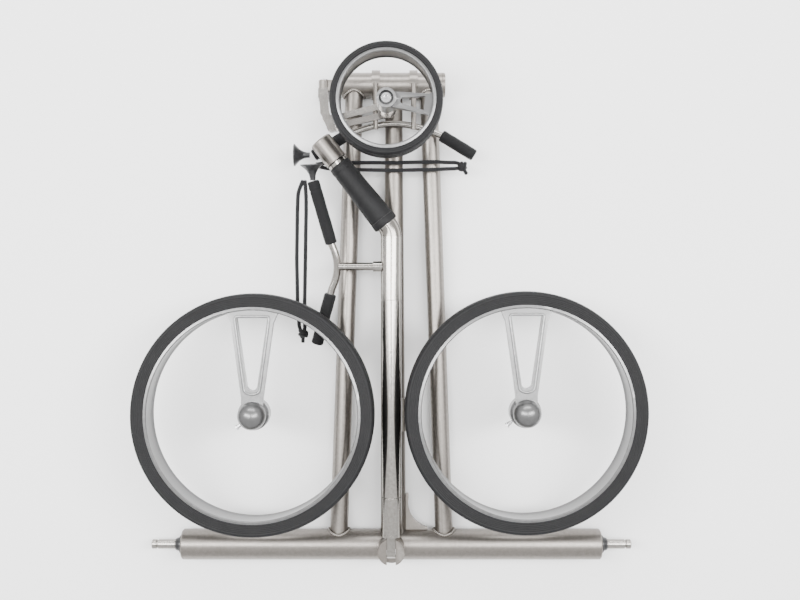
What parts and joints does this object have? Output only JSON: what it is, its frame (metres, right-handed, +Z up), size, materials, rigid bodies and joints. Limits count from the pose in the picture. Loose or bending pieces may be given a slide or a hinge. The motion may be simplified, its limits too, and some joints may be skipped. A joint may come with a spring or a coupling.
{
  "type": "folding golf trolley",
  "caption": "Folded three-wheel golf trolley: tube frame with a hinged mast and dial handle, padded bag rests, front wheel on a swing arm and loose drive wheels.",
  "frame": {"origin": "on the floor under the middle of the cross tube, with the trolley folded and lying flat", "axes": "+Y from the cross tube to the front wheel, +X to the right seen from above, +Z up from the floor"},
  "size_m": [0.6025, 0.6148, 0.108],
  "materials": {
    "satin_titanium": "satin, warm grey, bead blasted",
    "polished_titanium": "bright brushed along the tube",
    "cast_silver": "fine silver paint over a casting",
    "steel": "ground and polished",
    "tyre_rubber": "matt rubber",
    "foam": "closed-cell foam, matt",
    "grip_leather": "dark grey stitched leather",
    "cord": "braided elastic cord",
    "black_plastic": "moulded, matt",
    "motor_case": "dark plated"
  },
  "bodies": {
    "chassis": {"crossbar_tube": "satin_titanium", "left_end_seal": "black_plastic", "right_end_seal": "black_plastic", "left_motor": "motor_case", "right_motor": "motor_case", "motor_screws": "steel", "left_leg": "satin_titanium", "right_leg": "satin_titanium", "centre_tube": "satin_titanium", "centre_gusset": "satin_titanium", "centre_sleeve": "polished_titanium", "top_tube": "satin_titanium", "top_cap": "satin_titanium", "hinge_cheeks": "satin_titanium", "hinge_pin": "steel", "swing_lug": "satin_titanium", "swing_pin": "steel", "cradle_saddles": "satin_titanium", "cradle_frame": "polished_titanium", "left_cradle_foam": "foam", "right_cradle_foam": "foam", "cradle_bungee": "cord", "cradle_toggle": "black_plastic", "cradle_knot": "cord"},
    "mast_base": {"mast_foot": "polished_titanium", "mast_lower_tube": "polished_titanium"},
    "mast_middle": {"mast_mid_tube": "polished_titanium"},
    "mast_top": {"mast_upper_tube": "polished_titanium", "mast_inner_tube": "polished_titanium", "grip_sleeve": "grip_leather", "rest_collar": "polished_titanium"},
    "dial": {"speed_knob": "satin_titanium", "dial_spindle": "steel"},
    "upper_rest": {"rest_arm": "polished_titanium", "upper_foam": "foam", "lower_foam": "foam", "rest_bungee": "cord", "rest_toggle": "black_plastic", "rest_knot": "cord"},
    "left_drive": {"left_shaft": "steel"},
    "right_drive": {"right_shaft": "steel"},
    "front_arm": {"swing_arm": "satin_titanium", "front_axle": "steel"},
    "front_wheel": {"front_bearings": "steel", "front_rim": "cast_silver", "front_tyre": "tyre_rubber"},
    "left_wheel": {"left_tyre": "tyre_rubber", "left_rim": "cast_silver", "left_hub_ball": "cast_silver", "left_hub_sleeve": "steel", "left_pin_spring": "steel"},
    "right_wheel": {"right_tyre": "tyre_rubber", "right_rim": "cast_silver", "right_hub_ball": "cast_silver", "right_hub_sleeve": "steel", "right_pin_spring": "steel"},
    "left_latch": {"left_release_pin": "steel"},
    "right_latch": {"right_release_pin": "steel"}
  },
  "joints": [
    {"name": "mast_fold", "type": "hinge", "parent": "chassis", "child": "mast_base", "pos_m": [0, 0, 0.052], "axis": [1, 0, 0], "range_deg": [0, 115]},
    {"name": "mast_twist", "type": "hinge", "parent": "mast_base", "child": "mast_middle", "pos_m": [0, 0.0655, 0.052], "axis": [0, 1, 0], "range_deg": [0, 90]},
    {"name": "mast_slide", "type": "slide", "parent": "mast_middle", "child": "mast_top", "axis": [0, 1, 0], "range_m": [0, 0.045]},
    {"name": "speed_turn", "type": "hinge", "parent": "mast_top", "child": "dial", "pos_m": [0, 0.383, 0.052], "axis": [-0.6201, 0.7826, 0.0543], "range_deg": [0, 270]},
    {"name": "rest_swivel", "type": "hinge", "parent": "mast_top", "child": "upper_rest", "pos_m": [-0.04, 0.34, 0.052], "axis": [1, 0, 0], "range_deg": [0, 80]},
    {"name": "left_wheel_aside", "type": "hinge", "parent": "chassis", "child": "left_wheel", "pos_m": [-0.348, 0.166, 0.04475], "axis": [0, -1, 0], "range_deg": [0, 180]},
    {"name": "right_wheel_aside", "type": "hinge", "parent": "chassis", "child": "right_wheel", "pos_m": [0.3445, 0.1685, 0.04475], "axis": [0, 1, 0], "range_deg": [0, 180]},
    {"name": "front_arm_swing", "type": "hinge", "parent": "chassis", "child": "front_arm", "pos_m": [-0.0828, 0.557, 0.015], "axis": [0, -1, 0], "range_deg": [0, 270]},
    {"name": "front_wheel_spin", "type": "hinge", "parent": "front_arm", "child": "front_wheel", "pos_m": [-0.0053, 0.53, 0.09], "axis": [0, 0, 1], "continuous": true},
    {"name": "left_shaft_turn", "type": "hinge", "parent": "chassis", "child": "left_drive", "pos_m": [-0.27, 0, 0.0185], "axis": [-1, 0, 0], "continuous": true},
    {"name": "right_shaft_turn", "type": "hinge", "parent": "chassis", "child": "right_drive", "pos_m": [0.27, 0, 0.0185], "axis": [1, 0, 0], "continuous": true},
    {"name": "left_pin_pull", "type": "slide", "parent": "left_wheel", "child": "left_latch", "axis": [-0.788, -0.6157, 0], "range_m": [0, 0.004], "stiffness_N_per_m": 900, "springref_m": -0.002},
    {"name": "right_pin_pull", "type": "slide", "parent": "right_wheel", "child": "right_latch", "axis": [-0.788, -0.6157, 0], "range_m": [0, 0.004], "stiffness_N_per_m": 900, "springref_m": -0.002}
  ],
  "couplings": [
    {"joint": "mast_twist", "follows": "mast_fold", "ratio": 0.78},
    {"joint": "left_wheel_aside", "follows": "mast_fold", "ratio": 1.565}
  ]
}
